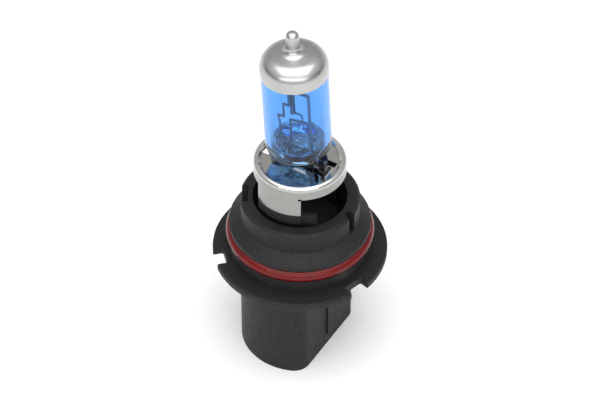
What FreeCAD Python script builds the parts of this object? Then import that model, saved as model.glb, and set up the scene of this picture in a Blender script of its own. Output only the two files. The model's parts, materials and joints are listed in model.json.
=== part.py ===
import FreeCAD, Part
import math
import os
import re

import Sketcher

# Two-filament headlight bulb with a 29 mm pilot base.
# Frame: millimetres, Z up along the base axis towards the capsule's tip, and the origin at the
# centre of the index flange's top face, where the lamp's housing seats.

doc = FreeCAD.newDocument("headlight_bulb")
sheet = doc.addObject("Spreadsheet::Sheet", "Sizes")

SIZES = {
    # index flange
    "flange_radius": "=pilot_radius + 3.5",
    "flange_thickness": 1.8,
    "flange_edge": 0.4,
    "notch_depth": 2.3,
    "notch_corner": 0.5,
    "notch_one_width": 4.6,
    "notch_two_width": 4.6,
    "notch_three_width": 3.4,
    "notch_one_azimuth": 193.0,
    "notch_two_azimuth": 312.8,
    "notch_three_azimuth": 75.0,
    # pilot and seal ring
    "pilot_radius": 14.5,
    "pilot_height": 7.0,
    "seal_section": 2.8,
    "seal_radius": "=pilot_radius - 0.7",
    "seal_height": 4.5,
    "seal_gap": 0.1,
    # collar
    "shoulder_height": 8.9,
    "collar_radius": "=collar_bore + 2.6",
    "collar_height": 13.7,
    "collar_edge": 0.5,
    "collar_bore": 9.6,
    "bore_floor": 1.5,
    "key_floor_radius": "=collar_bore + 0.9",
    "key_one_width": 4.9,
    "key_two_width": 2.0,
    "key_three_width": 3.2,
    "key_one_azimuth": 177.5,
    "key_two_azimuth": 329.0,
    "key_three_azimuth": 80.0,
    # plug socket
    "shroud_radius": 12.35,
    "shroud_bottom": 25.6,
    "shroud_wall": 1.6,
    "shroud_flat": 7.0,
    "shroud_azimuth": 329.0,
    "shroud_near_corner": 3.6,
    "shroud_far_corner": 2.8,
    "socket_floor": 4.0,
    "rib_width": 1.7,
    "rib_height": 0.4,
    "rib_end": 3.0,
    # inner carrier and its posts
    "fit_gap": 0.05,
    "carrier_top": 6.0,
    "post_wall": 1.5,
    "post_height": 16.7,
    "post_neck": 1.1,
    "ledge_height": 2.2,
    "tab_length": 3.4,
    "tab_low": 13.9,
    "tab_end_height": 1.9,
    # sheet metal of the burner holder
    "sheet_metal": 0.35,
    "ring_radius": 9.4,
    "ring_bottom": 21.0,
    "ring_top": 24.0,
    "bead_flat": 0.95,
    "bead_slope": 0.6,
    "bead_edge": 0.8,
    "plate_drop": 0.55,
    "plate_lip": 1.5,
    "leg_start": 207.2,
    "leg_sweep": 63.8,
    "relief_width": 0.7,
    "relief_depth": 0.45,
    "tongue_width": 3.0,
    "tongue_depth": 2.4,
    "tongue_lap": 1.2,
    # the burner leans a little, as its maker set it
    "burner_lean": 2.5,
    "burner_shift": 0.1,
    "lean_height": 24.0,
    "pinch_azimuth": -31.0,
    # capsule, in heights above the lean point
    "glass_radius": 6.7,
    "glass_wall": 1.15,
    "glass_bottom": 1.2,
    "glass_foot_edge": 4.0,
    "glass_shoulder": 27.0,
    "glass_shoulder_edge": 3.3,
    "crown_rise": 0.9,
    "tip_foot_edge": 1.8,
    "tip_radius": 1.25,
    "tip_height": 32.75,
    "cavity_bottom": 3.0,
    "pinch_width": "=ring_radius * 63 / 47",
    "pinch_thickness": 3.0,
    "pinch_edge": 0.9,
    "pinch_bottom": 6.0,
    "slot_length": "=pinch_width + 2.5",
    "slot_width": 4.8,
    "slot_along": -0.45,
    "slot_across": 0.4,
    "coating": 0.1,
    "cap_bottom": 22.75,
    # wires, foils and filaments
    "wire_radius": 0.25,
    "foil_width": "=pinch_width / 7",
    "foil_thickness": 0.1,
    "foil_bottom": 4.0,
    "foil_top": 2.0,
    "low_lead_place": "=-pinch_width * 29 / 84",
    "high_lead_place": "=-pinch_width * 37 / 252",
    "common_lead_place": "=pinch_width * 29 / 126",
    "coil_radius": 0.42,
    "coil_wire": 0.1,
    "coil_pitch": 0.42,
    "low_coil_place": -1.75,
    "low_coil_side": 0.42,
    "low_coil_bottom": 13.5,
    "low_coil_turns": 9,
    "high_coil_place": -0.65,
    "high_coil_side": -0.42,
    "high_coil_bottom": 12.2,
    "high_coil_turns": 12,
    # socket blades
    "blade_width": 2.8,
    "blade_thickness": 0.8,
    "blade_pitch": "=ring_radius * 26 / 47",
    "blade_row": 2.4,
    "blade_bottom": 19.0,
    "blade_top": 9.0,
    "potting_top": 7.6,
}

for row, word in enumerate(SIZES, start=1):
    sheet.set("A%d" % row, word)
    sheet.setAlias("B%d" % row, word)
for row, size in enumerate(SIZES.values(), start=1):
    sheet.set("B%d" % row, str(size))
doc.recompute()


def sized(text):
    """Turn an expression written in alias words into one that reads the sheet."""
    return re.sub(r"[a-z_]+", lambda m: "Sizes." + m.group() if m.group() in SIZES else m.group(), text)


def number(text):
    """Work out an expression of alias words."""
    return float(sheet.evalExpression(sized(text)))


def tie(thing, path, text):
    """Bind one property of an object to the sheet."""
    thing.setExpression(path, sized(text))


def new_body(label):
    body = doc.addObject("PartDesign::Body", label)
    body.Label = label
    return body


def sketch_on(body, name, role, lift="0", turn="0"):
    """A sketch on one of the body's origin planes, lifted along and turned about its normal."""
    sketch = body.newObject("Sketcher::SketchObject", name)
    plane = [item for item in body.Origin.OriginFeatures if item.Role == role][0]
    sketch.AttachmentSupport = (plane, [""])
    sketch.MapMode = "FlatFace"
    offset = FreeCAD.Placement(
        FreeCAD.Vector(0, 0, number(lift)), FreeCAD.Rotation(FreeCAD.Vector(0, 0, 1), number(turn))
    )
    sketch.AttachmentOffset = offset
    tie(sketch, "AttachmentOffset.Base.z", lift)
    if turn != "0":
        tie(sketch, "AttachmentOffset.Rotation.Angle", turn)
    return sketch


def pin_point(sketch, edge, end, across, along):
    """Fix one point of a sketch by two expressions, or on an axis where one is zero."""
    for kind, text, axis in (("DistanceX", across, -2), ("DistanceY", along, -1)):
        if text == "0":
            sketch.addConstraint(Sketcher.Constraint("PointOnObject", edge, end, axis))
        else:
            index = sketch.addConstraint(Sketcher.Constraint(kind, -1, 1, edge, end, number(text)))
            tie(sketch, "Constraints[%d]" % index, text)


def outline(sketch, corners):
    """A closed outline of straight edges through corners given as pairs of expressions."""
    spots = [FreeCAD.Vector(number(x), number(y), 0) for x, y in corners]
    first = sketch.GeometryCount
    count = len(spots)
    for i in range(count):
        sketch.addGeometry(Part.LineSegment(spots[i], spots[(i + 1) % count]), False)
    for i in range(count):
        after = (i + 1) % count
        sketch.addConstraint(Sketcher.Constraint("Coincident", first + i, 2, first + after, 1))
    for i, (x, y) in enumerate(corners):
        pin_point(sketch, first + i, 1, x, y)


def ring_outline(sketch, radius, across="0", along="0"):
    """A circle of the given radius about a point."""
    spot = FreeCAD.Vector(number(across), number(along), 0)
    index = sketch.addGeometry(Part.Circle(spot, FreeCAD.Vector(0, 0, 1), number(radius)), False)
    if across == "0" and along == "0":
        sketch.addConstraint(Sketcher.Constraint("Coincident", index, 3, -1, 1))
    else:
        pin_point(sketch, index, 3, across, along)
    constraint = sketch.addConstraint(Sketcher.Constraint("Radius", index, number(radius)))
    tie(sketch, "Constraints[%d]" % constraint, radius)


def rectangle(sketch, low_x, low_y, high_x, high_y):
    outline(sketch, [(low_x, low_y), (high_x, low_y), (high_x, high_y), (low_x, high_y)])


def turned(body, name, corners):
    """A solid turned about Z from a profile of (radius, height) corners."""
    sketch = sketch_on(body, name + "_profile", "XZ_Plane")
    outline(sketch, corners)
    feature = body.newObject("PartDesign::Revolution", name)
    feature.Profile = sketch
    feature.ReferenceAxis = (sketch, ["V_Axis"])
    feature.Angle = 360
    doc.recompute()
    return feature


def grooved(body, name, corners):
    """A cut turned about Z from a profile of (radius, height) corners."""
    sketch = sketch_on(body, name + "_profile", "XZ_Plane")
    outline(sketch, corners)
    before = body.Shape.Volume
    feature = body.newObject("PartDesign::Groove", name)
    feature.Profile = sketch
    feature.ReferenceAxis = (sketch, ["V_Axis"])
    feature.Angle = 360
    doc.recompute()
    check_change(before > body.Shape.Volume, name)
    return feature


def padded(body, name, sketch, length):
    """Material added upwards from a sketch."""
    feature = body.newObject("PartDesign::Pad", name)
    feature.Profile = sketch
    tie(feature, "Length", length)
    doc.recompute()
    check_state(sketch)
    check_state(feature)
    return feature


def pocketed(body, name, sketch, depth):
    """Material cut away upwards from a sketch."""
    before = body.Shape.Volume
    feature = body.newObject("PartDesign::Pocket", name)
    feature.Profile = sketch
    tie(feature, "Length", depth)
    feature.Reversed = True
    doc.recompute()
    check_state(sketch)
    check_state(feature)
    check_change(before > body.Shape.Volume, name)
    return feature


def check_change(changed, name):
    """Stop where a cut has left the solid as it was."""
    if not changed:
        raise RuntimeError(name + " changes nothing")


def check_state(thing):
    """Stop where an object could not be worked out."""
    if "Invalid" in thing.State or "Error" in thing.State:
        raise RuntimeError("%s cannot be built: %s" % (thing.Name, thing.getStatusString()))


def edges_where(feature, test):
    """Names of the edges whose bounding box passes a test."""
    return ["Edge%d" % (i + 1) for i, edge in enumerate(feature.Shape.Edges) if test(edge.BoundBox)]


def circle_at(radius, height):
    """A test for full circles about Z of one radius and height."""
    def test(box):
        level = abs(box.ZMin - height) < 0.01 and abs(box.ZMax - height) < 0.01
        return level and abs(box.XMax - radius) < 0.02 and abs(box.XMin + radius) < 0.02
    return test


def edge_finish(body, name, test, radius, kind="PartDesign::Fillet"):
    """Round or bevel every edge that passes a test."""
    base = body.Tip
    edges = edges_where(base, test)
    if not edges:
        raise RuntimeError(name + " finds no edge")
    feature = body.newObject(kind, name)
    feature.Base = (base, edges)
    tie(feature, "Size" if kind.endswith("Chamfer") else "Radius", radius)
    doc.recompute()
    check_state(feature)
    return feature


BURNER_PLACEMENT = (
    "placement(vector(-burner_shift; 0; lean_height); "
    "rotation(vector(0; 1; 0); -burner_lean) * rotation(vector(0; 0; 1); pinch_azimuth))"
)


def stand_in_burner(thing):
    """Set a piece on the leaning burner axis, its X along the press seal's long side."""
    tie(thing, "Placement", BURNER_PLACEMENT)


def burner_frame():
    lean = FreeCAD.Rotation(FreeCAD.Vector(0, 1, 0), -number("burner_lean"))
    turn = FreeCAD.Rotation(FreeCAD.Vector(0, 0, 1), number("pinch_azimuth"))
    place = FreeCAD.Vector(-number("burner_shift"), 0, number("lean_height"))
    return FreeCAD.Placement(place, lean * turn)


# ---------------------------------------------------------------- base moulding

def shroud_outline(sketch, inset):
    """The socket's D-shaped outline: a circle with one flat side across its own X axis."""
    radius = number("shroud_radius - " + inset)
    flat = number("shroud_flat - " + inset)
    half = math.sqrt(radius ** 2 - flat ** 2)
    reach = math.atan2(half, flat)
    centre = FreeCAD.Vector(0, 0, 0)
    circle = Part.Circle(centre, FreeCAD.Vector(0, 0, 1), radius)
    sketch.addGeometry(Part.ArcOfCircle(circle, reach, 2 * math.pi - reach), False)
    low = FreeCAD.Vector(flat, -half, 0)
    high = FreeCAD.Vector(flat, half, 0)
    sketch.addGeometry(Part.LineSegment(low, high), False)
    sketch.addConstraint(Sketcher.Constraint("Coincident", 0, 3, -1, 1))
    sketch.addConstraint(Sketcher.Constraint("Coincident", 0, 2, 1, 1))
    sketch.addConstraint(Sketcher.Constraint("Coincident", 0, 1, 1, 2))
    sketch.addConstraint(Sketcher.Constraint("Vertical", 1))
    across = sketch.addConstraint(Sketcher.Constraint("DistanceX", -1, 1, 1, 1, flat))
    tie(sketch, "Constraints[%d]" % across, "shroud_flat - " + inset)
    round_one = sketch.addConstraint(Sketcher.Constraint("Radius", 0, radius))
    tie(sketch, "Constraints[%d]" % round_one, "shroud_radius - " + inset)


def upright_edges(low_z, high_z, least, most, side=0):
    """A test for upright edges by height and distance from Z, on one side of the flat or on both."""
    turn = math.radians(number("shroud_azimuth"))

    def test(box):
        upright = box.XLength < 0.01 and box.YLength < 0.01
        level = abs(box.ZMin - low_z) < 0.01 and abs(box.ZMax - high_z) < 0.01
        along = box.YMin * math.cos(turn) - box.XMin * math.sin(turn)
        reach = math.hypot(box.XMin, box.YMin)
        return upright and level and least < reach < most and along * side >= 0
    return test


def make_base_moulding():
    body = new_body("base_moulding")
    sketch = sketch_on(body, "shroud_outer", "XY_Plane", "-shroud_bottom", "shroud_azimuth")
    shroud_outline(sketch, "0")
    padded(body, "shroud_block", sketch, "shroud_bottom - flange_thickness / 2")
    low = -number("shroud_bottom")
    high = -number("flange_thickness") / 2
    outer = number("shroud_radius")
    for word, side in (("near", -1), ("far", 1)):
        corner = upright_edges(low, high, outer - 0.05, outer + 0.05, side)
        edge_finish(body, word + "_corner", corner, "shroud_%s_corner" % word)
    sketch = sketch_on(body, "socket_outline", "XY_Plane", "-shroud_bottom", "shroud_azimuth")
    shroud_outline(sketch, "shroud_wall")
    pocketed(body, "socket", sketch, "shroud_bottom - socket_floor")
    top = -number("socket_floor")
    inner = number("shroud_radius - shroud_wall")
    for word, side in (("near", -1), ("far", 1)):
        corner = upright_edges(low, top, inner - 0.05, inner + 0.05, side)
        edge_finish(body, word + "_socket_corner", corner, "shroud_%s_corner - shroud_wall" % word)
    turned(body, "turned_base", [
        ("0", "-flange_thickness"),
        ("flange_radius", "-flange_thickness"),
        ("flange_radius", "0"),
        ("pilot_radius", "0"),
        ("pilot_radius", "seal_height - seal_section / 2 - seal_gap"),
        ("seal_radius - seal_section / 2 - fit_gap", "seal_height - seal_section / 2 - seal_gap"),
        ("seal_radius - seal_section / 2 - fit_gap", "seal_height + seal_section / 2 + seal_gap"),
        ("pilot_radius", "seal_height + seal_section / 2 + seal_gap"),
        ("pilot_radius", "pilot_height"),
        ("collar_radius", "shoulder_height"),
        ("collar_radius", "collar_height"),
        ("collar_bore", "collar_height"),
        ("collar_bore", "bore_floor"),
        ("0", "bore_floor"),
    ])
    outer = number("flange_radius")
    edge_finish(body, "flange_top_edge", circle_at(outer, 0.0), "flange_edge")
    edge_finish(
        body, "flange_under_edge", circle_at(outer, -number("flange_thickness")), "flange_edge"
    )
    edge_finish(
        body, "collar_top_edge", circle_at(number("collar_radius"), number("collar_height")),
        "collar_edge", "PartDesign::Chamfer",
    )
    for word in ("one", "two", "three"):
        name = "notch_" + word
        sketch = sketch_on(body, name + "_outline", "XY_Plane", "-flange_thickness - 1", name + "_azimuth")
        half = name + "_width / 2"
        rectangle(sketch, "flange_radius - notch_depth", "-" + half, "flange_radius + 1", half)
        pocketed(body, name, sketch, "flange_thickness + 2")
    under = -number("flange_thickness")
    corners = upright_edges(under, 0.0, number("pilot_radius") + 0.3, outer - 0.8)
    edge_finish(body, "notch_corners", corners, "notch_corner")
    for word in ("one", "two", "three"):
        name = "key_" + word
        sketch = sketch_on(body, name + "_outline", "XY_Plane", "shoulder_height", name + "_azimuth")
        half = name + "_width / 2"
        rectangle(sketch, "key_floor_radius", "-" + half, "collar_radius + 1", half)
        pocketed(body, name, sketch, "collar_height - shoulder_height + 1")
    sketch = sketch_on(body, "rib_outline", "XY_Plane", "-shroud_bottom + rib_end", "shroud_azimuth")
    rectangle(
        sketch, "shroud_flat - shroud_wall / 2", "-rib_width / 2", "shroud_flat + rib_height", "rib_width / 2"
    )
    padded(body, "plug_rib", sketch, "shroud_bottom - rib_end - flange_thickness / 2")
    for place in (-1, 0, 1):
        name = "blade_hole_%d" % (place + 2)
        sketch = sketch_on(body, name + "_outline", "XY_Plane", "-socket_floor - 1", "shroud_azimuth")
        blade_rectangle(sketch, place, "fit_gap")
        pocketed(body, name, sketch, "socket_floor + bore_floor + 2")
    return body


def blade_rectangle(sketch, place, extra):
    """One blade's cross-section, its width across the row and its place along it."""
    middle = "blade_pitch * %d" % place
    rectangle(
        sketch,
        "-blade_row - blade_width / 2 - " + extra,
        middle + " - blade_thickness / 2 - " + extra,
        "-blade_row + blade_width / 2 + " + extra,
        middle + " + blade_thickness / 2 + " + extra,
    )


# ---------------------------------------------------------------- carrier, seal and terminals

def sector(sketch, inner, outer, sweep):
    """A ring sector between two radii, spread evenly about the sketch's own X axis."""
    half = math.radians(number(sweep) / 2)
    centre = FreeCAD.Vector(0, 0, 0)
    up = FreeCAD.Vector(0, 0, 1)
    big = Part.ArcOfCircle(Part.Circle(centre, up, number(outer)), -half, half)
    small = Part.ArcOfCircle(Part.Circle(centre, up, number(inner)), -half, half)
    sketch.addGeometry(big, False)
    sketch.addGeometry(Part.LineSegment(big.EndPoint, small.EndPoint), False)
    sketch.addGeometry(small, False)
    sketch.addGeometry(Part.LineSegment(small.StartPoint, big.StartPoint), False)
    for edge in (0, 2):
        sketch.addConstraint(Sketcher.Constraint("Coincident", edge, 3, -1, 1))
    for edge, end, other, other_end in ((0, 2, 1, 1), (1, 2, 2, 2), (2, 1, 3, 1), (3, 2, 0, 1)):
        sketch.addConstraint(Sketcher.Constraint("Coincident", edge, end, other, other_end))
    for edge in (1, 3):
        sketch.addConstraint(Sketcher.Constraint("PointOnObject", -1, 1, edge))
    index = sketch.addConstraint(Sketcher.Constraint("Radius", 2, number(inner)))
    tie(sketch, "Constraints[%d]" % index, inner)
    pin_point(sketch, 0, 1, "%s * cos(%s / 2)" % (outer, sweep), "-%s * sin(%s / 2)" % (outer, sweep))
    top = "%s * sin(%s / 2)" % (outer, sweep)
    index = sketch.addConstraint(Sketcher.Constraint("DistanceY", -1, 1, 0, 2, number(top)))
    tie(sketch, "Constraints[%d]" % index, top)


def doubled(body, name, features):
    """Repeat features half a turn round Z."""
    axis = [item for item in body.Origin.OriginFeatures if item.Role == "Z_Axis"][0]
    before = body.Shape.Volume
    pattern = body.newObject("PartDesign::PolarPattern", name)
    pattern.Originals = features
    pattern.Axis = (axis, [""])
    pattern.Angle = 360
    pattern.Occurrences = 2
    body.Tip = pattern
    doc.recompute()
    check_state(pattern)
    check_change(abs(before - body.Shape.Volume) > 0.001, name)
    return pattern


LEG_MIDDLE = "leg_start + leg_sweep / 2"
POST_INSIDE = "(ring_radius - post_wall)"


def make_burner_carrier():
    body = new_body("burner_carrier")
    turned(body, "disc", [
        ("0", "bore_floor"),
        ("collar_bore - fit_gap", "bore_floor"),
        ("collar_bore - fit_gap", "carrier_top"),
        ("0", "carrier_top"),
    ])
    sketch = sketch_on(body, "post_outline", "XY_Plane", "carrier_top - 0.5", LEG_MIDDLE)
    sector(sketch, POST_INSIDE, "(ring_radius - post_neck)", "leg_sweep")
    post = padded(body, "post", sketch, "post_height - carrier_top + 0.5")
    sketch = sketch_on(body, "ledge_outline", "XY_Plane", "post_height - ledge_height", LEG_MIDDLE)
    sector(sketch, POST_INSIDE, "ring_radius", "leg_sweep")
    ledge = padded(body, "ledge", sketch, "ledge_height")
    sketch = sketch_on(body, "tab_outline", "XZ_Plane", POST_INSIDE + " - 0.2")
    outline(sketch, [
        ("-1", "post_height - ledge_height"),
        ("tab_length", "tab_low"),
        ("tab_length", "tab_low + tab_end_height"),
        ("0", "post_height"),
        ("-1", "post_height"),
    ])
    reach = "sqrt((collar_bore - fit_gap)^2 - tab_length^2)"
    tab = padded(body, "tab", sketch, reach + " - %s + 0.2" % POST_INSIDE)
    sketch = sketch_on(
        body, "tongue_slot_outline", "XY_Plane", "post_height - tongue_depth - fit_gap", LEG_MIDDLE
    )
    rectangle(
        sketch, "ring_radius - sheet_metal * 2 - 0.3", "-tongue_width / 2 - fit_gap",
        "ring_radius - sheet_metal + fit_gap", "tongue_width / 2 + fit_gap",
    )
    slot = pocketed(body, "tongue_slot", sketch, "tongue_depth + 1")
    doubled(body, "both_posts", [post, ledge, tab, slot])
    for place in (-1, 0, 1):
        name = "blade_hole_%d" % (place + 2)
        sketch = sketch_on(body, name + "_outline", "XY_Plane", "bore_floor - 1", "shroud_azimuth")
        blade_rectangle(sketch, place, "fit_gap")
        pocketed(body, name, sketch, "carrier_top - bore_floor + 2")
    return body


def make_o_ring():
    body = new_body("o_ring")
    sketch = sketch_on(body, "seal_section_outline", "XZ_Plane")
    ring_outline(sketch, "seal_section / 2", "seal_radius", "seal_height")
    feature = body.newObject("PartDesign::Revolution", "seal_ring")
    feature.Profile = sketch
    feature.ReferenceAxis = (sketch, ["V_Axis"])
    feature.Angle = 360
    doc.recompute()
    return body


def make_terminal_seal():
    body = new_body("terminal_seal")
    turned(body, "potting", [
        ("0", "carrier_top"),
        (POST_INSIDE + " - fit_gap * 2", "carrier_top"),
        (POST_INSIDE + " - fit_gap * 2", "potting_top - 0.3"),
        ("0", "potting_top"),
    ])
    for place in (-1, 0, 1):
        name = "blade_hole_%d" % (place + 2)
        sketch = sketch_on(body, name + "_outline", "XY_Plane", "carrier_top - 1", "shroud_azimuth")
        blade_rectangle(sketch, place, "fit_gap")
        pocketed(body, name, sketch, "potting_top - carrier_top + 2")
    return body


def make_blade(label, place):
    body = new_body(label)
    sketch = sketch_on(body, label + "_outline", "XY_Plane", "-blade_bottom", "shroud_azimuth")
    blade_rectangle(sketch, place, "0")
    padded(body, label + "_strip", sketch, "blade_bottom + blade_top")
    base = body.Tip
    bottom = -number("blade_bottom")
    edges = edges_where(base, lambda box: box.ZMax < bottom + 0.01)
    feature = body.newObject("PartDesign::Chamfer", label + "_point")
    feature.Base = (base, edges)
    tie(feature, "Size", "blade_thickness * 0.3")
    doc.recompute()
    return body


# ---------------------------------------------------------------- burner holder

def make_burner_ring():
    """Stamped ring with a beaded rim and two legs that stand on the carrier's posts."""
    body = new_body("burner_ring")
    inner = "(ring_radius - sheet_metal)"
    turned(body, "rim", [
        (inner, "ring_bottom"),
        ("ring_radius", "ring_bottom"),
        ("ring_radius", "ring_top"),
        ("ring_radius - bead_flat", "ring_top"),
        ("ring_radius - bead_flat - bead_slope", "ring_top - plate_drop"),
        (inner, "ring_top - plate_drop"),
    ])
    outer_edge = circle_at(number("ring_radius"), number("ring_top"))
    edge_finish(body, "bead_outer", outer_edge, "bead_edge")
    inner_edge = circle_at(number("ring_radius - bead_flat"), number("ring_top"))
    edge_finish(body, "bead_inner", inner_edge, "bead_edge / 2")
    sketch = sketch_on(body, "leg_outline", "XY_Plane", "post_height", LEG_MIDDLE)
    sector(sketch, inner, "ring_radius", "leg_sweep")
    leg = padded(body, "leg", sketch, "ring_bottom - post_height + 0.2")
    sketch = sketch_on(body, "tongue_outline", "XY_Plane", "post_height - tongue_depth", LEG_MIDDLE)
    rectangle(
        sketch, "ring_radius - sheet_metal * 2 - 0.2", "-tongue_width / 2",
        "sqrt((ring_radius - sheet_metal)^2 - (tongue_width / 2)^2) + 0.03", "tongue_width / 2",
    )
    tongue = padded(body, "tongue", sketch, "tongue_depth + tongue_lap")
    sketch = sketch_on(
        body, "relief_outline", "XY_Plane", "ring_bottom - relief_depth / 2",
        "leg_start + leg_sweep - 1.5",
    )
    rectangle(
        sketch, "ring_radius - sheet_metal - 0.5", "-relief_width / 2", "ring_radius + 0.5",
        "relief_width / 2",
    )
    relief = pocketed(body, "relief", sketch, "relief_depth")
    doubled(body, "both_legs", [leg, tongue, relief])
    return body


def make_clamp_plate():
    """Polished plate inside the ring's rim, with the press seal's slot and a lip below."""
    body = new_body("clamp_plate")
    edge = "ring_radius - sheet_metal - fit_gap"
    under = "ring_top - plate_drop - fit_gap - sheet_metal"
    turned(body, "dish", [
        ("0", under),
        (edge + " - sheet_metal", under),
        (edge + " - sheet_metal", under + " - plate_lip"),
        (edge, under + " - plate_lip"),
        (edge, "ring_top - plate_drop - fit_gap"),
        ("0", "ring_top - plate_drop - fit_gap"),
    ])
    top_edge = circle_at(number(edge), number("ring_top - plate_drop - fit_gap"))
    edge_finish(body, "dish_edge", top_edge, "sheet_metal * 0.8")
    sketch = sketch_on(body, "slot_outline", "XY_Plane", under + " - 1", "pinch_azimuth")
    rectangle(
        sketch, "slot_along - slot_length / 2", "slot_across - slot_width / 2",
        "slot_along + slot_length / 2", "slot_across + slot_width / 2",
    )
    pocketed(body, "pinch_slot", sketch, "sheet_metal + 1.5")
    return body


def make_pinch_clip():
    """A spring sleeve round the press seal, under the plate."""
    body = new_body("pinch_clip")
    sketch = sketch_on(body, "sleeve_outline", "XY_Plane", "-pinch_bottom + 1")
    inner_end = "pinch_width / 2 + fit_gap"
    inner_side = "pinch_thickness / 2 + fit_gap"
    for extra in ("0", "sheet_metal"):
        rectangle(
            sketch,
            "-(%s + %s)" % (inner_end, extra), "-(%s + %s)" % (inner_side, extra),
            "%s + %s" % (inner_end, extra), "%s + %s" % (inner_side, extra),
        )
    padded(body, "sleeve", sketch, "pinch_bottom - 1 - plate_drop - sheet_metal - 0.4")
    stand_in_burner(body)
    return body


# ---------------------------------------------------------------- capsule

def crown_corners(extra):
    """Corners of the capsule's top, from the shoulder to the tip, grown outwards by a coating."""
    return [
        ("glass_radius + " + extra, "glass_shoulder + " + extra),
        ("tip_radius + " + extra, "glass_shoulder + crown_rise + " + extra),
        ("tip_radius + " + extra, "tip_height + " + extra),
        ("0", "tip_height + " + extra),
    ]


def crown_finish(body, name, extra):
    """Round the capsule's shoulder, the foot of its tip and the tip."""
    corners = crown_corners(extra)
    edges = (
        ("tip_end", 2, "tip_radius * 0.9 + " + extra),
        ("tip_foot", 1, "tip_foot_edge - " + extra),
        ("shoulder", 0, "glass_shoulder_edge + " + extra),
    )
    for word, index, radius in edges:
        across, along = corners[index]
        edge_finish(body, name + "_" + word, circle_at(number(across), number(along)), radius)


def make_glass_capsule():
    body = new_body("glass_capsule")
    turned(body, "envelope", [
        ("0", "glass_bottom"),
        ("glass_radius", "glass_bottom"),
        *crown_corners("0"),
    ])
    crown_finish(body, "glass", "0")
    foot = circle_at(number("glass_radius"), number("glass_bottom"))
    edge_finish(body, "foot", foot, "glass_foot_edge")
    grooved(body, "cavity", [
        ("0", "cavity_bottom"),
        ("glass_radius * 0.45", "cavity_bottom"),
        ("glass_radius - glass_wall", "cavity_bottom + 2.6"),
        ("glass_radius - glass_wall", "glass_shoulder - 1.6"),
        ("glass_radius - glass_wall - 1.4", "glass_shoulder - 0.4"),
        ("0", "glass_shoulder + crown_rise - 1.1"),
    ])
    sketch = sketch_on(body, "pinch_outline", "XY_Plane", "-pinch_bottom")
    half = "pinch_width / 2"
    side = "pinch_thickness / 2"
    ends = ((half + " - pinch_edge", side), (half, side + " - pinch_edge"))
    outline(sketch, [
        *[("-(%s)" % across, "-(%s)" % along) for across, along in ends[::-1]],
        *[(across, "-(%s)" % along) for across, along in ends],
        *[(across, along) for across, along in ends[::-1]],
        *[("-(%s)" % across, along) for across, along in ends],
    ])
    padded(body, "pinch", sketch, "pinch_bottom + glass_bottom + 1")
    stand_in_burner(body)
    return body


def make_silver_cap():
    """The opaque coating on the capsule's top and tip, down to one level line."""
    body = new_body("coating_blank")
    turned(body, "coat", [
        ("0", "cap_bottom"),
        ("glass_radius + coating", "cap_bottom"),
        *crown_corners("coating"),
    ])
    crown_finish(body, "coat", "coating")
    stand_in_burner(body)
    glass = new_body("coated_glass")
    turned(glass, "coated_envelope", [
        ("0", "cap_bottom - 1"),
        ("glass_radius", "cap_bottom - 1"),
        *crown_corners("0"),
    ])
    crown_finish(glass, "coated", "0")
    stand_in_burner(glass)
    cap = doc.addObject("Part::Cut", "silver_coating")
    cap.Base = body
    cap.Tool = glass
    cap.Label = "silver_cap"
    doc.recompute()
    check_state(cap)
    return cap


# ---------------------------------------------------------------- wires, foils and filaments

def bent_wire(body, name, radius, corners):
    """A round wire along corners in the press seal's plane, from its first corner upwards."""
    path = sketch_on(body, name + "_path", "XZ_Plane")
    spots = [FreeCAD.Vector(number(x), number(y), 0) for x, y in corners]
    last = len(spots) - 1
    for i in range(last):
        path.addGeometry(Part.LineSegment(spots[i], spots[i + 1]), False)
    for i in range(last - 1):
        path.addConstraint(Sketcher.Constraint("Coincident", i, 2, i + 1, 1))
    for i in range(last):
        pin_point(path, i, 1, *corners[i])
    pin_point(path, last - 1, 2, *corners[last])
    section = sketch_on(body, name + "_section", "XY_Plane", corners[0][1])
    ring_outline(section, radius, corners[0][0])
    feature = body.newObject("PartDesign::AdditivePipe", name)
    feature.Profile = section
    feature.Spine = (path, ["Edge%d" % (i + 1) for i in range(last)])
    feature.Transition = "Round corner"
    doc.recompute()
    check_state(path)
    check_state(section)
    check_state(feature)
    return feature


def make_low_beam_lead():
    """Left support: up, a step inwards, then up to the low-beam coil's lower end."""
    body = new_body("low_beam_lead")
    foot = "low_lead_place"
    bent_wire(body, "low_support", "wire_radius", [
        (foot, "foil_top - 0.8"),
        (foot, "low_coil_bottom - 5.4"),
        (foot + " - 0.35", "low_coil_bottom - 3.6"),
        (foot + " + 1.1", "low_coil_bottom - 3.4"),
        (foot + " + 1.2", "low_coil_bottom"),
        ("low_coil_place", "low_coil_bottom"),
    ])
    stand_in_burner(body)
    return body


def make_high_beam_lead():
    """Middle support: up, an arm outwards, and a thin spur back to the high-beam coil."""
    body = new_body("high_beam_lead")
    bent_wire(body, "high_support", "wire_radius", [
        ("high_lead_place", "foil_top - 0.8"),
        ("high_lead_place + 0.2", "high_coil_bottom - 2.2"),
        ("common_lead_place - 0.65", "high_coil_bottom - 1.7"),
    ])
    bent_wire(body, "high_spur", "wire_radius * 0.7", [
        ("high_coil_place + 1.95", "high_coil_bottom - 1.85"),
        ("high_coil_place + 1.7", "high_coil_bottom"),
        ("high_coil_place", "high_coil_bottom"),
    ])
    stand_in_burner(body)
    return body


def make_common_lead():
    """Right support: up past both coils, across, and down to their upper ends."""
    body = new_body("common_lead")
    end = "low_coil_bottom + low_coil_turns * coil_pitch"
    top = end + " + 0.5"
    bent_wire(body, "common_support", "wire_radius * 1.2", [
        ("common_lead_place", "foil_top - 0.8"),
        ("common_lead_place - 0.1", top),
        ("low_coil_place", top),
        ("low_coil_place", end),
    ])
    bent_wire(body, "common_drop", "wire_radius * 0.7", [
        ("high_coil_place", "high_coil_bottom + high_coil_turns * coil_pitch"),
        ("high_coil_place", top),
    ])
    stand_in_burner(body)
    return body


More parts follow.
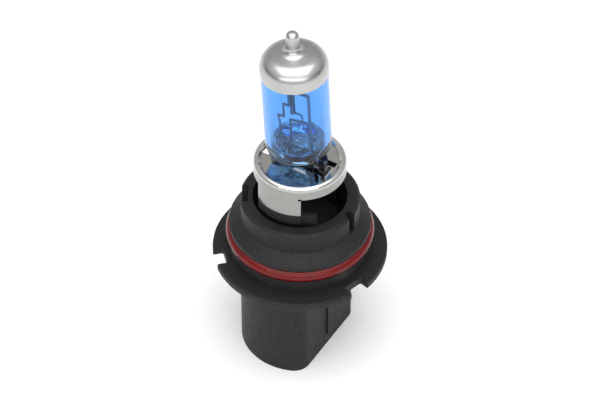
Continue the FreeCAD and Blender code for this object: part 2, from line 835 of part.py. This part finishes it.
def make_filament(label, place, side, bottom, turns, start):
    """A coiled filament about its own upright axis, its ends in the press seal's plane."""
    spine = doc.addObject("Part::Helix", label + "_spine")
    tie(spine, "Pitch", "coil_pitch")
    tie(spine, "Height", turns + " * coil_pitch")
    tie(spine, "Radius", "coil_radius")
    section = doc.addObject("Part::Circle", label + "_section")
    tie(section, "Radius", "coil_wire")
    seat = "%s * placement(vector(%s; %s; %s); rotation(vector(0; 0; 1); %s))" % (
        BURNER_PLACEMENT, place, side, bottom, start)
    tie(spine, "Placement", seat)
    tie(section, "Placement",
        seat + " * placement(vector(coil_radius; 0; 0); rotation(vector(1; 0; 0); 90))")
    coil = doc.addObject("Part::Sweep", label)
    coil.Label = label
    doc.recompute()
    coil.Sections = [section]
    coil.Spine = (spine, ["Edge%d" % (i + 1) for i in range(len(spine.Shape.Edges))])
    coil.Solid = True
    coil.Frenet = True
    doc.recompute()
    check_state(coil)
    return coil


def make_foil(label, place):
    """One molybdenum foil sealed in the press seal."""
    body = new_body(label)
    sketch = sketch_on(body, label + "_outline", "XY_Plane", "-foil_bottom")
    rectangle(
        sketch, place + " - foil_width / 2", "-foil_thickness / 2",
        place + " + foil_width / 2", "foil_thickness / 2",
    )
    padded(body, label + "_strip", sketch, "foil_bottom + foil_top")
    stand_in_burner(body)
    return body


def rounded_path(corners, bend):
    """Straight runs through corners, joined by tangent arcs of one radius."""
    edges = []
    here = corners[0]
    for before, corner, after in zip(corners, corners[1:], corners[2:]):
        back = (before - corner).normalize()
        on = (after - corner).normalize()
        turn = math.pi - back.getAngle(on)
        cut = bend * math.tan(turn / 2)
        first = corner + back * cut
        last = corner + on * cut
        inward = (back + on).normalize()
        middle = corner + inward * (bend / math.cos(turn / 2) - bend)
        edges.append(Part.LineSegment(here, first).toShape())
        edges.append(Part.Arc(first, middle, last).toShape())
        here = last
    edges.append(Part.LineSegment(here, corners[-1]).toShape())
    return Part.Wire(edges)


def make_outer_wire(label, place, blade):
    """A round wire from the press seal's foil down to the side of one blade's top."""
    seat = burner_frame()
    turn = FreeCAD.Rotation(FreeCAD.Vector(0, 0, 1), number("shroud_azimuth"))
    beside = FreeCAD.Vector(
        -number("blade_row"),
        blade * number("blade_pitch") + number("blade_thickness / 2 + wire_radius"), 0)
    foot = turn.multVec(beside)
    up = FreeCAD.Vector(0, 0, 1)
    across = number(place)
    corners = [
        seat.multVec(FreeCAD.Vector(across, 0, -number("foil_bottom") + 0.6)),
        seat.multVec(FreeCAD.Vector(across, 0, -number("pinch_bottom") - 1.2)),
        foot + up * (number("blade_top") + 1.6),
        foot + up * (number("potting_top") + 0.3),
    ]
    path = rounded_path(corners, 2 * number("wire_radius") * 1.6)
    ring = Part.Circle(corners[0], corners[1] - corners[0], number("wire_radius"))
    wire = doc.addObject("Part::Feature", label)
    wire.Label = label
    wire.Shape = path.makePipeShell([Part.Wire(ring.toShape())], True, False)
    wire.Placement = FreeCAD.Placement()
    return wire


parts = [
    make_base_moulding(),
    make_burner_carrier(),
    make_o_ring(),
    make_terminal_seal(),
    make_blade("low_beam_blade", -1),
    make_blade("high_beam_blade", 0),
    make_blade("common_blade", 1),
    make_burner_ring(),
    make_clamp_plate(),
    make_pinch_clip(),
    make_glass_capsule(),
    make_silver_cap(),
    make_foil("low_beam_foil", "low_lead_place"),
    make_foil("high_beam_foil", "high_lead_place"),
    make_foil("common_foil", "common_lead_place"),
    make_low_beam_lead(),
    make_high_beam_lead(),
    make_common_lead(),
    make_filament("low_beam_filament", "low_coil_place", "low_coil_side", "low_coil_bottom",
                  "low_coil_turns", "-90"),
    make_filament("high_beam_filament", "high_coil_place", "high_coil_side", "high_coil_bottom",
                  "high_coil_turns", "90"),
    make_outer_wire("low_beam_wire", "low_lead_place", -1),
    make_outer_wire("high_beam_wire", "high_lead_place", 0),
    make_outer_wire("common_wire", "common_lead_place", 1),
]
doc.recompute()
for thing in doc.Objects:
    check_state(thing)
for part in parts:
    if part.Shape.isNull() or not part.Shape.isValid():
        raise RuntimeError(part.Label + " has no valid shape")
os.makedirs("parts", exist_ok=True)
for part in parts:
    part.Shape.exportStep("parts/%s.step" % part.Label)
    box = part.Shape.BoundBox
    print("%-18s solids %d volume %9.2f z %.2f to %.2f" % (
        part.Label, len(part.Shape.Solids), part.Shape.Volume, box.ZMin, box.ZMax))
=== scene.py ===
import json
import math

import bmesh
import bpy
from mathutils import Matrix, Vector, noise


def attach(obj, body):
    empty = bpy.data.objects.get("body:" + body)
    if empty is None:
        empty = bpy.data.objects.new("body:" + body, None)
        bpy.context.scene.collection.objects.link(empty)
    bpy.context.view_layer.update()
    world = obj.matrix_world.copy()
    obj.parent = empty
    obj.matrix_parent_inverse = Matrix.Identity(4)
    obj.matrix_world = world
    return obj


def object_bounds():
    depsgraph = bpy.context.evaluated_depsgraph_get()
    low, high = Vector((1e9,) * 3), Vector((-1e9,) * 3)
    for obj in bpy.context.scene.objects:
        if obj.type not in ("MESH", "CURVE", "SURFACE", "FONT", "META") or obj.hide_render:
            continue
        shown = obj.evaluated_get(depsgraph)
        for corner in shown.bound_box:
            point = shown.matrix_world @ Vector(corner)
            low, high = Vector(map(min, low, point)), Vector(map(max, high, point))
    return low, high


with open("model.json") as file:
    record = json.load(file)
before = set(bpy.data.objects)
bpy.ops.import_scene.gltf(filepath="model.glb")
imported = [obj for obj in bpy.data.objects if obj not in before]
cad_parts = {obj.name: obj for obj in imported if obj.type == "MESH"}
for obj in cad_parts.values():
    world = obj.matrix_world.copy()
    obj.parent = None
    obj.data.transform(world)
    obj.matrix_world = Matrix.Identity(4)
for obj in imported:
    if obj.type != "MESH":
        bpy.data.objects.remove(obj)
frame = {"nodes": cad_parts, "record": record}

CAD_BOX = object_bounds()
MM = 0.001

CAMERA_SENSOR = 36.0
CAMERA_LENS = 166.9
CAMERA_PLACE = (0.0, -0.40705, 0.40305)
CAMERA_PITCH = math.radians(46.16)
CAMERA_RANGE = (0.01, 10.0)
FLOOR_SIZE = 6.0

# The sky's grey by height, as the upward part of the direction: before the object and behind it.
FRONT_SKY = ((0.0, 0.03), (0.13, 0.05), (0.25, 0.55), (0.62, 0.85), (1.0, 1.05))
BACK_SKY = ((0.0, 0.9), (0.13, 0.7), (0.45, 0.45), (0.75, 0.6), (1.0, 1.05))
SKY_CHANGES = (0.1, 0.7)
SKY_BLUE = 1.01

# The burner's own axis: it leans a little about this point of the base axis.
LEAN_POINT = Vector((-0.1, 0.0, 24.0)) * MM
BURNER_LEAN = math.radians(2.5)
PINCH_TURN = math.radians(-31.0)
BURNER = (
    Matrix.Translation(LEAN_POINT)
    @ Matrix.Rotation(-BURNER_LEAN, 4, "Y")
    @ Matrix.Rotation(PINCH_TURN, 4, "Z")
)

# The ring's steel turns from satin to smoother between these heights, and its colour turns paler
# there: a painted highlight over the bead.
BEAD_POLISH_AND_PAINTED_HIGHLIGHT = (22.8 * MM, 23.7 * MM)

# The capsule's wall as a distance from a core: a cylinder of this radius, with its foot this high.
CORE_RADIUS = 2.7 * MM
CORE_FOOT = 5.2 * MM
SKIN = (3.3 * MM, 3.6 * MM)
TINT_STARTS = (0.8 * MM, 2.4 * MM)

# The melted glass over the capsule's inner floor, in millimetres in the burner's frame.
MELT_RADIUS = 5.2
MELT_BOTTOM = 3.06
BOWL_FLAT_RADIUS = 3.0
BOWL_SLOPE = 2.6 / 2.55
MELT_DEPTH = 0.75
FOLD_HEIGHT = 0.75
RIDGE_HEIGHT = 0.9
THINNEST_MELT = 0.06
MELT_RINGS = 26
MELT_SPOKES = 72

# The mix node has a pair of inputs and a result for each kind of value; these are its colours.
MIX_COLOURS = (6, 7)
MIX_COLOUR_RESULT = 2


# ---------------------------------------------------------------- nodes

def grow(tree, value, limits):
    """0 at the lower limit and 1 at the upper, straight between."""
    node = tree.nodes.new("ShaderNodeMapRange")
    node.inputs["From Min"].default_value, node.inputs["From Max"].default_value = limits
    tree.links.new(value, node.inputs["Value"])
    return node.outputs["Result"]


def colour_ramp(tree, value, stops):
    node = tree.nodes.new("ShaderNodeValToRGB")
    elements = node.color_ramp.elements
    while len(elements) < len(stops):
        elements.new(0.5)
    for element, (place, colour) in zip(elements, stops):
        element.position = place
        element.color = (*colour, 1) if isinstance(colour, tuple) else (colour, colour, colour, 1)
    tree.links.new(value, node.inputs["Fac"])
    return node.outputs["Color"]


def colour_mix(tree, factor):
    """A mix of two colours, and the sockets they go in."""
    node = tree.nodes.new("ShaderNodeMix")
    node.data_type = "RGBA"
    tree.links.new(factor, node.inputs["Factor"])
    first, second = (node.inputs[place] for place in MIX_COLOURS)
    return node.outputs[MIX_COLOUR_RESULT], first, second


def maths(tree, kind, *values):
    node = tree.nodes.new("ShaderNodeMath")
    node.operation = kind
    for socket, value in zip(node.inputs, values):
        if isinstance(value, float):
            socket.default_value = value
        else:
            tree.links.new(value, socket)
    return node.outputs[0]


def length(tree, across, along):
    squares = (maths(tree, "MULTIPLY", side, side) for side in (across, along))
    return maths(tree, "SQRT", maths(tree, "ADD", *squares))


def separate(tree, vector):
    node = tree.nodes.new("ShaderNodeSeparateXYZ")
    tree.links.new(vector, node.inputs[0])
    return node.outputs


# ---------------------------------------------------------------- camera, floor and light

def make_camera():
    data = bpy.data.cameras.new("camera")
    data.sensor_width = CAMERA_SENSOR
    data.lens = CAMERA_LENS
    data.clip_start, data.clip_end = CAMERA_RANGE
    camera = bpy.data.objects.new("camera", data)
    camera.location = CAMERA_PLACE
    camera.rotation_euler = (CAMERA_PITCH, 0.0, 0.0)
    bpy.context.collection.objects.link(camera)
    bpy.context.scene.camera = camera


def softbox(name, place, aim, width, height, radiance):
    """A rectangular light of one brightness, whatever its size."""
    data = bpy.data.lights.new(name, "AREA")
    data.shape = "RECTANGLE"
    data.size = width
    data.size_y = height
    data.energy = radiance * math.pi * width * height
    light = bpy.data.objects.new(name, data)
    light.location = place
    light.rotation_euler = (Vector(aim) - Vector(place)).to_track_quat("-Z", "Y").to_euler()
    bpy.context.collection.objects.link(light)


def make_world():
    """A studio round the object: a dark band low in front, pale low behind, pale overhead."""
    world = bpy.data.worlds.new("studio")
    bpy.context.scene.world = world
    world.use_nodes = True
    tree = world.node_tree
    background = tree.nodes["Background"]
    direction = separate(tree, tree.nodes.new("ShaderNodeTexCoord").outputs["Generated"])
    sky, *sides = colour_mix(tree, grow(tree, direction["Y"], SKY_CHANGES))
    for greys, socket in zip((FRONT_SKY, BACK_SKY), sides):
        stops = [(up, (grey, grey, grey * SKY_BLUE)) for up, grey in greys]
        tree.links.new(colour_ramp(tree, direction["Z"], stops), socket)
    tree.links.new(sky, background.inputs["Color"])
    background.inputs["Strength"].default_value = 1.0


# ---------------------------------------------------------------- materials

class Look:
    """A node material with short words for the nodes it needs."""

    def __init__(self, name):
        self.material = bpy.data.materials.new(name)
        self.material.use_nodes = True
        self.tree = self.material.node_tree
        self.shader = self.tree.nodes["Principled BSDF"]
        self.coordinates = self.tree.nodes.new("ShaderNodeTexCoord").outputs["Object"]

    def set(self, **values):
        """Constants on the shader's own sockets, by their names in lower case."""
        for word, value in values.items():
            socket = self.shader.inputs[word.replace("_", " ").title().replace("Ior", "IOR")]
            socket.default_value = value

    def noise(self, scale, detail=4.0, stretch=(1, 1, 1), rough=0.55):
        place = self.tree.nodes.new("ShaderNodeMapping")
        place.inputs["Scale"].default_value = stretch
        texture = self.tree.nodes.new("ShaderNodeTexNoise")
        texture.inputs["Scale"].default_value = scale
        texture.inputs["Detail"].default_value = detail
        texture.inputs["Roughness"].default_value = rough
        self.tree.links.new(self.coordinates, place.inputs["Vector"])
        self.tree.links.new(place.outputs["Vector"], texture.inputs["Vector"])
        return texture.outputs["Fac"]

    def ramp(self, value, *stops):
        return colour_ramp(self.tree, value, stops)

    def feed(self, word, value):
        self.tree.links.new(value, self.shader.inputs[word])

    def relief(self, height, strength, distance, round_edges=0.0):
        bump = self.tree.nodes.new("ShaderNodeBump")
        bump.inputs["Strength"].default_value = strength
        bump.inputs["Distance"].default_value = distance
        self.tree.links.new(height, bump.inputs["Height"])
        if round_edges:
            bevel = self.tree.nodes.new("ShaderNodeBevel")
            bevel.samples = 4
            bevel.inputs["Radius"].default_value = round_edges
            self.tree.links.new(bevel.outputs["Normal"], bump.inputs["Normal"])
        self.tree.links.new(bump.outputs["Normal"], self.shader.inputs["Normal"])


def plastic(name, dark, pale, roughness, edge):
    """Moulded plastic: fine pale specks, uneven gloss, grain and softened edges."""
    look = Look(name)
    look.set(specular_ior_level=0.22)
    specks = look.noise(scale=5200, detail=3, rough=0.7)
    look.feed("Base Color", look.ramp(specks, (0.44, dark), (0.62, pale)))
    gloss = look.noise(scale=900)
    look.feed("Roughness", look.ramp(gloss, (0.3, roughness - 0.06), (0.7, roughness + 0.08)))
    grain = look.noise(scale=2600, detail=5, rough=0.65)
    look.relief(grain, strength=0.45, distance=0.06 * MM, round_edges=edge)
    return look.material


def rubber():
    look = Look("seal_rubber")
    look.set(specular_ior_level=0.26)
    dark, pale = (0.105, 0.0032, 0.003), (0.14, 0.0045, 0.004)
    look.feed("Base Color", look.ramp(look.noise(scale=420), (0.3, dark), (0.7, pale)))
    look.feed("Roughness", look.ramp(look.noise(scale=1600), (0.3, 0.16), (0.7, 0.24)))
    look.relief(look.noise(scale=700, detail=3), strength=0.12, distance=0.04 * MM)
    return look.material


def metal(name, dark, pale, roughness, brushed=(1, 1, 1), grain=900, depth=0.05):
    """Bare metal; its colour, gloss and scratches vary with grains of three sizes."""
    look = Look(name)
    look.set(metallic=1.0)
    look.feed("Base Color", look.ramp(look.noise(grain, 4, brushed), (0.3, dark), (0.7, pale)))
    gloss = look.noise(grain * 1.7, 3, brushed)
    look.feed("Roughness", look.ramp(gloss, (0.3, roughness * 0.8), (0.7, roughness * 1.25)))
    look.relief(look.noise(grain * 1.3, 4, brushed), strength=depth, distance=0.02 * MM)
    return look.material


def ring_steel():
    """Satin sheet on the legs and skirt; smoother over the bead, where a paler colour is a painted
    highlight.
    """
    look = Look("stainless")
    look.set(metallic=1.0)
    brushed = (1, 1, 6)
    # 0 below the bead and 1 over it: this mask lowers the roughness and also paints a highlight in
    #                                 the colour.
    polish_and_painted_highlight = grow(look.tree, separate(look.tree, look.coordinates)["Z"], BEAD_POLISH_AND_PAINTED_HIGHLIGHT)
    dark, pale = (0.29, 0.283, 0.272), (0.33, 0.323, 0.312)
    sheet = look.ramp(look.noise(scale=500, stretch=brushed), (0.3, dark), (0.7, pale))
    colour, satin, painted_highlight_colour = colour_mix(look.tree, polish_and_painted_highlight)
    look.tree.links.new(sheet, satin)
    # Painted highlight: a paler steel colour over the bead than the satin sheet below it.
    painted_highlight_colour.default_value = (0.62, 0.61, 0.59, 1)
    look.feed("Base Color", colour)
    look.feed("Roughness", look.ramp(polish_and_painted_highlight, (0.0, 0.2), (1.0, 0.08)))
    look.relief(look.noise(scale=700, stretch=brushed), strength=0.05, distance=0.02 * MM,
                round_edges=0.12 * MM)
    return look.material


def tinted_glass():
    """Clear glass whose outer skin is coated blue from the press seal upwards."""
    look = Look("blue_glass")
    look.set(transmission_weight=1.0, ior=1.42, roughness=0.0)
    tree = look.tree
    seat = tree.nodes.new("ShaderNodeMapping")
    seat.vector_type = "TEXTURE"
    seat.inputs["Location"].default_value = LEAN_POINT
    seat.inputs["Rotation"].default_value = (0, -BURNER_LEAN, 0)
    tree.links.new(look.coordinates, seat.inputs["Vector"])
    place = separate(tree, seat.outputs["Vector"])
    reach = length(tree, place["X"], place["Y"])
    beyond = maths(tree, "MAXIMUM", maths(tree, "SUBTRACT", reach, CORE_RADIUS), 0.0)
    below = maths(tree, "MINIMUM", maths(tree, "SUBTRACT", place["Z"], CORE_FOOT), 0.0)
    skin = grow(tree, length(tree, beyond, below), SKIN)
    coated = maths(tree, "MULTIPLY", skin, grow(tree, place["Z"], TINT_STARTS))
    clear, blue = (0.97, 0.985, 1.0), (0.085, 0.34, 0.86)
    look.feed("Base Color", look.ramp(coated, (0.0, clear), (1.0, blue)))
    look.relief(look.noise(scale=140, detail=2), strength=0.06, distance=0.2 * MM)
    return look.material


def melted_glass():
    look = Look("melted_glass")
    look.set(transmission_weight=1.0, ior=1.36, roughness=0.0)
    blue, clear = (0.80, 0.90, 0.99), (0.95, 0.98, 1.0)
    look.feed("Base Color", look.ramp(look.noise(scale=260, detail=3), (0.3, blue), (0.7, clear)))
    look.relief(look.noise(scale=420, detail=3), strength=0.25, distance=0.3 * MM)
    return look.material


def floor_look():
    look = Look("floor")
    look.feed("Base Color", look.ramp(look.noise(scale=2.0, detail=2), (0.3, 0.90), (0.7, 0.92)))
    look.set(roughness=0.9, specular_ior_level=0.1)
    return look.material


def make_floor():
    bpy.ops.mesh.primitive_plane_add(size=FLOOR_SIZE, location=(0, 0, CAD_BOX[0].z))
    floor = bpy.context.object
    floor.name = "floor"
    floor.data.materials.append(floor_look())


def make_looks():
    """One material for each slot of the record."""
    return {
        "black_plastic": plastic(
            "black_plastic", dark=(0.007, 0.007, 0.0075), pale=(0.024, 0.024, 0.025),
            roughness=0.52, edge=0.18 * MM),
        "inner_plastic": plastic(
            "inner_plastic", dark=(0.008, 0.008, 0.0085), pale=(0.020, 0.020, 0.021),
            roughness=0.58, edge=0.12 * MM),
        "seal_rubber": rubber(),
        "potting": plastic(
            "potting", dark=(0.006, 0.006, 0.006), pale=(0.02, 0.02, 0.02),
            roughness=0.7, edge=0.1 * MM),
        "stainless": ring_steel(),
        "polished_steel": metal(
            "polished_steel", dark=(0.46, 0.45, 0.425), pale=(0.52, 0.51, 0.485),
            roughness=0.07, grain=300),
        "silver_coating": metal(
            "silver_coating", dark=(0.45, 0.445, 0.435), pale=(0.50, 0.495, 0.485),
            roughness=0.29, grain=260, depth=0.03),
        "tinned_brass": metal(
            "tinned_brass", dark=(0.58, 0.56, 0.52), pale=(0.68, 0.66, 0.62),
            roughness=0.3, brushed=(1, 1, 0.1)),
        "molybdenum": metal(
            "molybdenum", dark=(0.22, 0.22, 0.23), pale=(0.3, 0.3, 0.31), roughness=0.4),
        "lead_wire": metal(
            "lead_wire", dark=(0.26, 0.26, 0.28), pale=(0.36, 0.36, 0.38),
            roughness=0.4, brushed=(1, 1, 0.2)),
        "tungsten": metal(
            "tungsten", dark=(0.14, 0.14, 0.15), pale=(0.22, 0.22, 0.23), roughness=0.45),
        "blue_glass": tinted_glass(),
    }


# ---------------------------------------------------------------- melted glass at the capsule's foot

def melt_height(x, y):
    """Height of the folded glass over the capsule's inner floor, in millimetres."""
    reach = math.hypot(x, y) / MELT_RADIUS
    folds = noise.fractal(Vector((x * 0.55, y * 0.9, 3.7)), 0.9, 2.0, 4)
    ridge = abs(noise.noise(Vector((x * 0.5 + 9.0, y * 0.8, 1.3))))
    return (MELT_DEPTH + FOLD_HEIGHT * folds + RIDGE_HEIGHT * ridge) * (1.0 - reach ** 4)


def melt_layer(build, upper):
    """Vertices of the folded upper side or the smooth underside: its centre, then its rings."""
    middle = MELT_BOTTOM + (melt_height(0, 0) if upper else 0)
    centre = build.verts.new((0, 0, middle * MM))
    rings = []
    for ring in range(1, MELT_RINGS + 1):
        reach = MELT_RADIUS * ring / MELT_RINGS
        bowl = MELT_BOTTOM + max(0.0, reach - BOWL_FLAT_RADIUS) * BOWL_SLOPE
        row = []
        for spoke in range(MELT_SPOKES):
            turn = 2 * math.pi * spoke / MELT_SPOKES
            x = reach * math.cos(turn)
            y = reach * math.sin(turn)
            lift = max(THINNEST_MELT, melt_height(x, y)) if upper else 0.0
            row.append(build.verts.new((x * MM, y * MM, (bowl + lift) * MM)))
        rings.append(row)
    return centre, rings


def melted_floor():
    """Closed mesh of the melted glass: two layers of faces and a rim that joins them."""
    build = bmesh.new()
    layers = {upper: melt_layer(build, upper) for upper in (True, False)}
    spokes = [(spoke, (spoke + 1) % MELT_SPOKES) for spoke in range(MELT_SPOKES)]
    for upper, (centre, rings) in layers.items():
        for spoke, after in spokes:
            faces = [(centre, rings[0][spoke], rings[0][after])]
            for inner, outer in zip(rings, rings[1:]):
                faces.append((inner[spoke], outer[spoke], outer[after], inner[after]))
            for face in faces:
                build.faces.new(face if upper else face[::-1])
    top, bottom = (layers[upper][1][-1] for upper in (True, False))
    for spoke, after in spokes:
        build.faces.new((top[spoke], bottom[spoke], bottom[after], top[after]))
    mesh = bpy.data.meshes.new("melted_floor")
    build.to_mesh(mesh)
    build.free()
    return mesh


def add_piece(name, mesh, look):
    """A smooth-shaded piece in the burner's frame, riding on the one body."""
    piece = bpy.data.objects.new(name, mesh)
    piece.matrix_world = BURNER
    bpy.context.collection.objects.link(piece)
    mesh.materials.append(look)
    for polygon in mesh.polygons:
        polygon.use_smooth = True
    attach(piece, "root")


# ---------------------------------------------------------------- the scene

make_camera()
make_world()
make_floor()
softbox("front", (-0.05, -0.85, 0.40), (0, 0, 0.03), width=1.7, height=0.34, radiance=2.3)
softbox("top", (0.0, -0.22, 0.92), (0, 0, 0.03), width=1.5, height=0.95, radiance=1.7)
bpy.context.scene.view_settings.view_transform = "Standard"

looks = make_looks()
slots = {row["node"]: row["material_slot"] for row in frame["record"]["subparts"]}
for name, node in frame["nodes"].items():
    for slot in node.material_slots:
        slot.material = looks[slots[name]]
add_piece("melted_glass_floor", melted_floor(), melted_glass())
